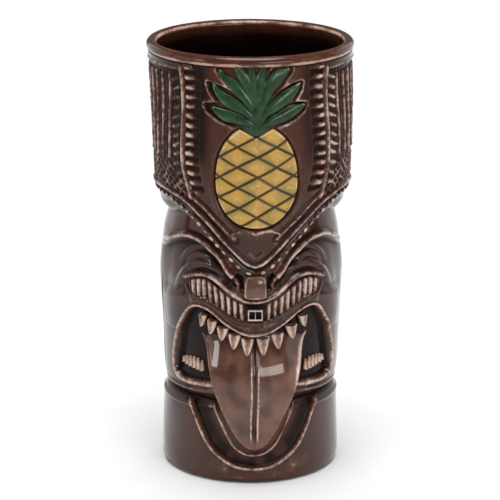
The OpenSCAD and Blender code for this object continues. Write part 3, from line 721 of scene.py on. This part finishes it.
longTongue = {
    "half": [(41, 60.5), (37.5, 57.5), (33.6, 53.5), (29.4, 46), (24.3, 36), (16.8, 25.5), (11.5, 19.4),
             (6.5, 15.9), (0, 14.5)],  # half its outline
    "crest": [(14, 36.9), (20, 37.5), (28, 38.1), (37, 38.4), (42, 38.2), (47, 37.2), (52, 35.4),
              (57, 33.3), (61, 31.9)],  # (height, radius) down its middle
    "top": 60.5, "tip": 14.5, "radius": 37,
}


def tongue():
    half = smoothLine(longTongue["half"], 10)
    towardTip = longTongue["tip"] + 7.5 * np.sin(np.linspace(88, 0, 36) * math.pi / 180)
    z = np.concatenate([[longTongue["top"]], np.linspace(60.0, 22, 92), towardTip])
    wide = np.interp(-z, -half[:, 1], half[:, 0])
    spread = np.sin(np.linspace(-90, 90, 91) * math.pi / 180)
    angle = wide[:, None] * spread
    crest = np.interp(z, *smoothLine(longTongue["crest"]).T)[:, None]
    q = np.abs(spread)[None, :]
    across = np.abs(np.radians(angle)) * longTongue["radius"]
    edgeIn = (1 - q) * np.radians(wide)[:, None] * longTongue["radius"]
    centre = hump(across, 2.3) * softStep(14.6, 21, z)[:, None]
    lines = hump(np.abs(across - 1.25), 1.25) * softStep(15.5, 21, z)[:, None]
    lines *= (1 - softStep(52, 56, z))[:, None]
    fallAway = 0.3 + 0.8 * softStep(61.5, 56, z)[:, None]
    radius = crest - fallAway * q ** 2 + 0.3 * hump(np.abs(edgeIn - 0.9), 2.2) - 0.75 * centre + 0.35 * lines
    radius -= 1.0 * softStep(0.9, 0.0, edgeIn)
    # edges rubbed thin all round; the right edge, from the middle up, is lightened further as a painted
    # highlight
    paintedEdgeHighlight = 0.9 * softStep(4.6, 0.8, edgeIn) * softStep(34, 50, z)[:, None] * (angle > 0)
    rubbed = 0.55 * softStep(3.0, 0.3, edgeIn) + lines + paintedEdgeHighlight
    thin = np.clip(rubbed + 0.06 * softStep(26, 15, z)[:, None] * softStep(0.5, 2.5, across), 0, 1)
    cloudy = 0.4 * softStep(0.0, 0.9, ripple(angle, z[:, None], 15, 61)) * softStep(2, 5, edgeIn)
    # the middle groove and cloudy patches hold darker glaze; the top of the tongue, under the teeth, is
    # darkened as a painted shadow
    poolAndShade = np.clip(0.8 * centre + cloudy - lines, 0, 1) + 0.35 * softStep(50, 56, z)[:, None]
    back = np.array([1.0, 0.6, 0, -0.6, -1.0])
    angle = np.hstack([angle, wide[:, None] * back])
    radius = np.hstack([radius, np.broadcast_to(np.where(z < 34, 32.2, 31.2)[:, None], (len(z), 5))])
    angle, radius = np.hstack([angle, angle[:, :1]]), np.hstack([radius, radius[:, :1]])
    rest = np.zeros((len(z), 6))
    angle[-1] = 0
    radius[-1] = radius[-1].mean()
    angle = np.vstack([np.zeros((1, angle.shape[1])), angle])  # the top closes on the middle of its own edge
    radius = np.vstack([np.full((1, radius.shape[1]), 31.8), radius])
    z = np.concatenate([[longTongue["top"]], z])
    pads = {"thin": thin, "poolAndShade": np.clip(poolAndShade, 0, 1), "warm": 0.4 + 0 * thin}
    marks = {k: np.vstack([np.zeros((1, angle.shape[1])), np.hstack([m, rest])]) for k, m in pads.items()}
    print("tongue modelled")
    return claySkin("longTongue", angle, radius, z[:, None] + 0 * angle, marks)


teeth = {
    "upper": [  # angle, height of the root, height of the tip, width
        (-35.2, 67.6, 63.0, 3.4), (-28.4, 65.8, 60.6, 4.2), (-21.2, 63.4, 58.4, 4.9), (-13.3, 61.0, 55.4, 5.2),
        (-4.9, 59.5, 53.0, 5.2), (5.1, 59.5, 53.1, 5.2), (14.6, 61.2, 55.3, 5.3), (24.2, 64.0, 58.8, 5.2),
        (32.8, 67.2, 62.8, 3.9)],
    "side": [  # root, tip, width
        ((54.2, 45.6), (55.2, 47.8), 2.3), ((51.2, 45.2), (51.9, 48.5), 2.5),
        ((48.0, 44.8), (48.4, 48.9), 2.6), ((44.8, 44.5), (44.9, 49.0), 2.6),
        ((41.6, 44.2), (41.4, 48.9), 2.6), ((38.4, 44.0), (37.8, 48.3), 2.5)],
    "upperLift": 2.0, "upperTaper": 0.52, "sideLift": 1.6, "sideTaper": 1.05,
}


def fang(root, tip, width, lift, ground, taper):
    middle = ((root[0] + tip[0]) / 2, (root[1] + tip[1]) / 2)

    def poolAndShade(t, q):  # wash left at the root and where the tooth meets the clay
        return softStep(0.75, 0.45, np.hypot(q, t * 1.7)) + 0.3 * softStep(0.93, 1, np.abs(q))

    return sprig("tooth", smoothLine([root, middle, tip], 7),
                 lambda t: width * np.clip(1.02 - t, 0, 1) ** taper * softStep(-0.3, 0.1, t),
                 lambda t: lift * (1 - 0.45 * t), ground, sink=0.9, across=11, dome=1.6,
                 marks={"thin": lambda t, q: 0.5 + 0.5 * softStep(0.2, 0.7, np.abs(q)) + 0 * t, "poolAndShade": poolAndShade})


def upperTeeth():
    parts = [fang((a, root), (a * 1.012, tip), width, teeth["upperLift"],
                  lambda z, root=root: faceRadius(z) - 1.2 + 0.22 * (root - z), teeth["upperTaper"])
             for a, root, tip, width in teeth["upper"]]
    print("upper teeth set")
    return joined("upperTeeth", parts)


def sideTeeth():
    parts = [fang((side * a, b), (side * c, d), width, teeth["sideLift"],
                  lambda z: faceRadius(z) - 2.2, teeth["sideTaper"])
             for side in (1, -1) for (a, b), (c, d), width in teeth["side"]]
    print("side teeth set")
    return joined("sideTeeth", parts)


bridge = {"line": [(0, 84.9), (0, 83.4), (0, 80.6), (0, 77.6), (0, 76.4)], "topWidth": 7.8, "spread": 1.6}


def nose():
    def width(t):
        return (bridge["topWidth"] + bridge["spread"] * t) * np.clip(1 - np.abs(2 * t - 1) ** 7, 0, 1) ** 0.5

    def thin(t, q):  # rubbed along both sides and the lower edge
        return 0.3 + 0.5 * hump(np.abs(q) - 0.84, 0.24) + 0.5 * hump(t - 0.9, 0.16) * (np.abs(q) < 0.9)

    print("nose laid")
    return sprig("noseBlock", smoothLine(bridge["line"], 8), width, lambda t: 2.3 + 0.7 * np.sin(t * 2.2),
                 lambda z: faceRadius(z) + 0.1, sink=1.0, across=17, dome=5,
                 marks={"thin": thin, "warm": lambda t, q: 0.2 + 0 * t * q})


plug = {"grid": (47, 31), "middle": 69.3, "halfTall": 2.7, "halfWide": 5.1, "buried": 33.6, "closesAt": 68.9}


def nosePlug():  # a square plug with two small square holes
    columns, rows = plug["grid"]
    x, y = np.linspace(-1, 1, columns)[None, :], np.linspace(-1, 1, rows)[:, None]
    edge = np.minimum((1 - np.abs(x)) * 3.1, (1 - np.abs(y)) * 2.3) + 0 * x * y
    hole = np.minimum(0.30 - np.abs(np.abs(x) - 0.38), (0.52 - np.abs(y)) * 0.75) + 0 * x * y
    lift = 1.35 * softStep(0, 0.5, edge) - 1.25 * softStep(-0.04, 0.10, hole)
    z = plug["middle"] + plug["halfTall"] * y + 0 * x
    angle = plug["halfWide"] * x + 0 * y
    base = faceRadius(z) - 0.5
    hidden = np.full((1, columns), plug["buried"])
    radius = np.vstack([base + lift, hidden, hidden, base[:1] + lift[:1]])
    z = np.vstack([z, z[-1:], z[:1], z[:1]])
    angle = np.vstack([angle, angle[-1:], angle[:1], angle[:1]])
    thin = softStep(0.1, 0.5, edge) * (1 - softStep(-0.08, 0.02, hole)) * 0.9
    poolAndShade = softStep(-0.06, 0.06, hole)
    pad = np.zeros((3, columns))
    marks = {"thin": np.vstack([thin, pad]), "poolAndShade": np.vstack([poolAndShade, pad])}
    buried = np.full((len(z), 1), plug["buried"])
    level = np.full((len(z), 1), plug["closesAt"])
    radius = np.hstack([buried, radius, buried])
    z = np.hstack([level, z, level])
    angle = np.hstack([angle[:, :1], angle, angle[:, -1:]])
    marks = {k: np.pad(m, ((0, 0), (1, 1))) for k, m in marks.items()}
    print("nose plug set")
    return claySkin("nosePlug", angle, radius, z, marks)


def linear(hexColour):  # sRGB hex to the linear colour that shaders take
    channels = [int(hexColour[i:i + 2], 16) / 255 for i in (1, 3, 5)]
    return [c / 12.92 if c <= 0.04045 else ((c + 0.055) / 1.055) ** 2.4 for c in channels] + [1.0]


def addNode(tree, kind, settings, output=0):  # a setting that is another node's output is linked
    node = tree.nodes.new(kind)
    for key, value in settings.items():
        if isinstance(key, str) and hasattr(node, key):
            setattr(node, key, value)
        elif isinstance(value, bpy.types.NodeSocket):
            tree.links.new(value, node.inputs[key])
        else:
            node.inputs[key].default_value = value
    return node.outputs[output]


def mottle(tree, sizeMm, low, high, detail=4.0):  # cloudy variation with features of about sizeMm
    spot = addNode(tree, "ShaderNodeTexCoord", {}, "Object")
    cloud = addNode(tree, "ShaderNodeTexNoise", {"Vector": spot, "Scale": 1 / (sizeMm * 0.001),
                                                 "Detail": detail})
    return addNode(tree, "ShaderNodeMapRange", {"Value": cloud, "From Min": low, "From Max": high})


usualLook = {"cloudMm": 4, "cloudMix": 0.5, "warmMix": 0.5, "poolAndShadeMix": 0.95, "flankMix": 0.9, "wornMix": 0.9,
             "breakUp": 0.25, "roughness": 0.35, "coatRoughness": 0.1, "coatIor": 1.38, "dullPoolsAndShade": 0.4,
             "peelMm": 3, "peel": 0.1}  # each glaze below gives only what differs from this


def glaze(name, colours, ownLook):
    # Glazed stoneware: a coloured glassy coat over clay, thin and pale on crests, dark where it pools; the same
    # marks also carry painted shade and painted highlight on some pieces.
    look = {**usualLook, **ownLook}
    material = bpy.data.materials.new(name)
    material.use_nodes = True
    tree = material.node_tree
    shader = tree.nodes["Principled BSDF"]
    thin, poolAndShade, warm = (addNode(tree, "ShaderNodeAttribute", {"attribute_name": n}, "Fac")
                        for n in ("thin", "poolAndShade", "warm"))
    cloud = mottle(tree, look["cloudMm"], 0.35, 0.68)
    patches = addNode(tree, "ShaderNodeMath", {"operation": "MULTIPLY_ADD", 0: mottle(tree, 8, 0.3, 0.7),
                                               1: 0.4, 2: 0.75 + 0.4 * look["breakUp"]})
    worn = addNode(tree, "ShaderNodeMath", {"operation": "MULTIPLY", 0: thin, 1: patches})
    specks = mottle(tree, 1.6, 0.38, 0.62, 2.0)
    worn = addNode(tree, "ShaderNodeMath", {"operation": "MULTIPLY_ADD", "use_clamp": True,
                                            0: specks, 1: -look["breakUp"], 2: worn})
    core = addNode(tree, "ShaderNodeMapRange", {"interpolation_type": "SMOOTHSTEP", "Value": worn,
                                                "From Min": 0.35, "From Max": 1.0})
    colour = linear(colours["body"])
    for layer, amount, strength in (("warmer", cloud, look["cloudMix"]), ("warmer", warm, look["warmMix"]),
                                    ("dark", poolAndShade, look["poolAndShadeMix"]), ("flank", worn, look["flankMix"]),
                                    ("worn", core, look["wornMix"])):
        share = addNode(tree, "ShaderNodeMath", {"operation": "MULTIPLY", "use_clamp": True,
                                                 0: amount, 1: strength})
        colour = addNode(tree, "ShaderNodeMix", {"data_type": "RGBA", 0: share, 6: colour,
                                                 7: linear(colours[layer])}, 2)
    tree.links.new(colour, shader.inputs["Base Color"])
    shader.inputs["Roughness"].default_value = look["roughness"]
    shader.inputs["IOR"].default_value = 1.5
    shader.inputs["Specular IOR Level"].default_value = 0.05
    shader.inputs["Coat Roughness"].default_value = look["coatRoughness"]
    shader.inputs["Coat IOR"].default_value = look["coatIor"]
    # the coat is thinned where glaze pools and where shade is painted
    dulled = addNode(tree, "ShaderNodeMath", {"operation": "MULTIPLY_ADD", "use_clamp": True, 0: poolAndShade,
                                              1: -look["dullPoolsAndShade"], 2: 1.0})
    tree.links.new(dulled, shader.inputs["Coat Weight"])
    spot = addNode(tree, "ShaderNodeTexCoord", {}, "Object")
    peel = addNode(tree, "ShaderNodeTexNoise", {"Vector": spot, "Scale": 1 / (0.001 * look["peelMm"]),
                                                "Detail": 2.0})
    bump = addNode(tree, "ShaderNodeBump", {"Strength": look["peel"], "Distance": 0.0004, "Height": peel})
    tree.links.new(bump, shader.inputs["Normal"])
    tree.links.new(bump, shader.inputs["Coat Normal"])
    return material


# Iron-brown glaze dipped and wiped back: nearly black in the hollows, pinkish clay along the crests; painted
# shade darkens it beside the front comb, in the mouth hollow and in the chin recess, and a painted highlight
# lightens the back comb's right side.
brownGlaze = glaze(
    "brownGlazedStoneware",
    {"body": "#34231f", "dark": "#0b0504", "flank": "#7d5344", "worn": "#dcc2b4", "warmer": "#4f2614"},
    {"cloudMm": 14, "cloudMix": 0.6, "warmMix": 0.8, "wornMix": 0.95, "coatRoughness": 0.08,
     "dullPoolsAndShade": 0.8, "peelMm": 3.5})
# The same glaze poured inside, even and almost black all over, with a brown rolled lip.
insideGlaze = glaze(
    "brownGlazedLip",
    {"body": "#3a1f16", "dark": "#0d0302", "flank": "#7a5142", "worn": "#c9a48e", "warmer": "#5a2f1e"},
    {"cloudMm": 10, "warmMix": 0.7, "poolAndShadeMix": 0.97, "dullPoolsAndShade": 0.3, "peelMm": 4})
# A thinner wash over smooth clay: mid brown with the clay's pink showing, and the sharpest reflections; on the
# tongue the right edge is lightened as a painted highlight and the top darkened as a painted shadow.
tongueGlaze = glaze(
    "paleBrownGlazedStoneware",
    {"body": "#432b23", "dark": "#1d100d", "flank": "#8a6555", "worn": "#e0c8b8", "warmer": "#7c5646"},
    {"cloudMm": 8, "cloudMix": 0.9, "wornMix": 0.85, "roughness": 0.3, "coatRoughness": 0.04,
     "coatIor": 1.5, "peelMm": 5, "peel": 0.05})
# Teeth wiped nearly bare: tan clay, darker where the wash stayed in the middle and at the roots.
toothGlaze = glaze(
    "tanGlazedTeeth",
    {"body": "#8a6653", "dark": "#1c0f0c", "flank": "#b18d79", "worn": "#e8cfbc", "warmer": "#6f4838"},
    {"warmMix": 0.4, "poolAndShadeMix": 0.85})
# Ochre glaze brushed on by hand: mottled from cream to olive in each cell, with dark wash in the scored lines.
yellowGlaze = glaze(
    "ochreGlazedFruit",
    {"body": "#cd9e4a", "dark": "#26231c", "flank": "#d4ab60", "worn": "#e4c68c", "warmer": "#8b7d46"},
    {"warmMix": 0.6, "poolAndShadeMix": 0.94, "flankMix": 0.7, "wornMix": 0.7, "breakUp": 0.35, "roughness": 0.42,
     "coatRoughness": 0.22, "dullPoolsAndShade": 0.3, "peelMm": 2.5, "peel": 0.2})
# Green glaze over the wash: deep green, breaking to a chalky grey-green at the tips and ribs.
greenGlaze = glaze(
    "greenGlazedLeaves",
    {"body": "#182f1a", "dark": "#0a120c", "flank": "#4f6b4d", "worn": "#a3ab9f", "warmer": "#315530"},
    {"cloudMix": 0.8, "warmMix": 0.3, "flankMix": 0.6, "wornMix": 0.75, "breakUp": 0.4, "roughness": 0.4,
     "coatRoughness": 0.15, "peelMm": 2.5, "peel": 0.2})


def finished(piece, material, slotName, *nodes):
    piece.data.materials.clear()
    piece.data.materials.append(material)
    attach(piece, "root")
    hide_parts(*nodes)


finished(inside(), insideGlaze, "brown_glaze", "cup")
finished(foot(), brownGlaze, "brown_glaze", "cup", "chin_panel")
finished(faceBarrel(), brownGlaze, "brown_glaze", "cup", "brow_ridges", "eyes", "upper_lip", "moustache_ribs",
         "mouth_rim", "lower_lip")
finished(headdress(), brownGlaze, "brown_glaze", "headdress", "headband_rail", "panel_rails", "panel_combs",
         "panel_reeds", "woven_band")
finished(bandBeads(), brownGlaze, "worn_glaze", "headband_beads")
finished(pineappleFruit(), yellowGlaze, "yellow_glaze", "pineapple_fruit")
finished(pineappleLeaves(), greenGlaze, "green_glaze", "pineapple_crown")
finished(tongue(), tongueGlaze, "tongue_glaze", "tongue")
finished(upperTeeth(), toothGlaze, "tooth_glaze", "upper_teeth")
finished(sideTeeth(), toothGlaze, "tooth_glaze", "side_teeth")
finished(nose(), tongueGlaze, "brown_glaze", "nose")
finished(nosePlug(), brownGlaze, "brown_glaze", "nose_plug")

# floor, light and camera
studio = {"floorSize": 30.0, "air": 0.12,
          # name, direction round from the front, height, distance, width, height of the box, power, spread
          "boxes": [("windowBox", -57.5, 14, 1.0, 0.15, 0.22, 0.85, 180),
                    ("sideBox", 25.5, 9.5, 1.0, 0.64, 0.22, 2.6, 180),
                    ("overheadBox", 0, 80, 0.75, 0.5, 0.5, 1.3, 80),
                    ("leftFill", -78, 12, 1.0, 0.5, 0.62, 0.3, 90),
                    ("rightFill", 66, 12, 1.0, 0.5, 0.62, 0.25, 90),
                    ("leftCard", -128, 10, 1.0, 1.0, 0.9, 2.0, 180),
                    ("rightCard", 128, 10, 1.0, 1.0, 0.9, 2.0, 180)],
          "backdrop": ((0, 1.3, 1.1), 1.6, 12)}


def paperFloor():
    bpy.ops.object.select_all(action="DESELECT")
    bpy.ops.mesh.primitive_plane_add(size=studio["floorSize"])
    floor = bpy.context.object
    floor.name = "paperFloor"
    paper = bpy.data.materials.new("whitePaper")
    paper.use_nodes = True
    shader = paper.node_tree.nodes["Principled BSDF"]
    patchy = mottle(paper.node_tree, 40, 0.0, 1.0)
    tone = addNode(paper.node_tree, "ShaderNodeMix", {"data_type": "RGBA", 0: patchy,
                                                      6: linear("#f1f1f1"), 7: linear("#f8f8f8")}, 2)
    paper.node_tree.links.new(tone, shader.inputs["Base Color"])
    shader.inputs["Roughness"].default_value = 0.9
    floor.data.materials.append(paper)


def softBox(name, place, size, power, spread, aim):
    lamp = bpy.data.lights.new(name, "AREA")
    lamp.shape, lamp.size, lamp.size_y, lamp.energy = "RECTANGLE", size[0], size[1], power
    lamp.spread = math.radians(spread)
    holder = bpy.data.objects.new(name, lamp)
    bpy.context.collection.objects.link(holder)
    holder.location = place
    toward = [a - p for a, p in zip(aim, place)]
    flat = math.hypot(toward[0], toward[1])
    holder.rotation_euler = (math.atan2(flat, -toward[2]), 0, math.atan2(-toward[0], toward[1]))
    holder.visible_camera = False
    return holder


paperFloor()
for name, azimuth, rise, distance, wide, tall, power, spread in studio["boxes"]:
    turn, lean = math.radians(azimuth), math.radians(rise)
    place = (distance * math.cos(lean) * math.sin(turn), -distance * math.cos(lean) * math.cos(turn),
             0.08 + distance * math.sin(lean))
    softBox(name, place, (wide, tall), power, spread, (0, 0, 0.08))
place, size, power = studio["backdrop"]
softBox("backdropBox", place, (size, size), power, 120, (0, 1.2, 0)).visible_glossy = False
world = bpy.data.worlds.new("studioAir")
world.use_nodes = True
world.node_tree.nodes["Background"].inputs["Color"].default_value = (1, 1, 1, 1)
world.node_tree.nodes["Background"].inputs["Strength"].default_value = studio["air"]
bpy.context.scene.view_settings.view_transform = "Standard"
bpy.context.scene.world = world

view = {"distance": 893.5, "height": 345.3, "pitch": 16.25, "azimuth": -2.5, "lens": 170.0}
lens = bpy.data.cameras.new("camera")
camera = bpy.data.objects.new("camera", lens)
bpy.context.collection.objects.link(camera)
turn = math.radians(view["azimuth"])
camera.location = (view["distance"] * unit * math.sin(turn), -view["distance"] * unit * math.cos(turn),
                   view["height"] * unit)
camera.rotation_euler = (math.radians(90 - view["pitch"]), 0, turn)
lens.lens, lens.sensor_width = view["lens"], 36.0
lens.clip_start, lens.clip_end = 0.01, 20
bpy.context.scene.camera = camera
